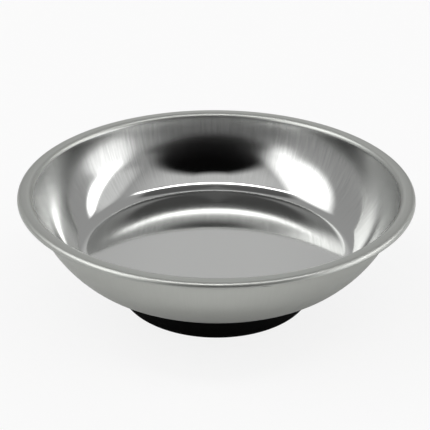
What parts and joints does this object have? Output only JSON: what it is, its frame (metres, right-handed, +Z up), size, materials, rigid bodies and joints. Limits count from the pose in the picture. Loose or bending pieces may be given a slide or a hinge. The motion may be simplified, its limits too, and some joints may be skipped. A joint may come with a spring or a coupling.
{
  "type": "magnetic parts tray",
  "caption": "Round stainless steel dish with a level rim on a rubber-covered ring magnet, for holding loose screws and other small steel parts.",
  "frame": {"origin": "middle of the underside, where the rubber base stands on the table", "axes": "+Z up along the dish's axis; X and Y are equal, the tray is round"},
  "size_m": [0.15, 0.15, 0.0455],
  "materials": {
    "stainless": "satin stainless steel with fine turned brushing",
    "zinc": "bright zinc plating",
    "spring_steel": "dull plated spring steel",
    "plate_steel": "zinc plated pressed steel",
    "ferrite": "sintered, ground faces",
    "foam": "closed-cell foam",
    "rubber": "matt moulded rubber"
  },
  "bodies": {
    "root": {"dish": "stainless", "weld_stud": "zinc", "foam_pad": "foam", "ring_magnet": "ferrite", "retaining_plate": "plate_steel", "flat_washer": "zinc", "lock_washer": "spring_steel", "hex_nut": "zinc", "rubber_boot": "rubber"}
  },
  "joints": []
}
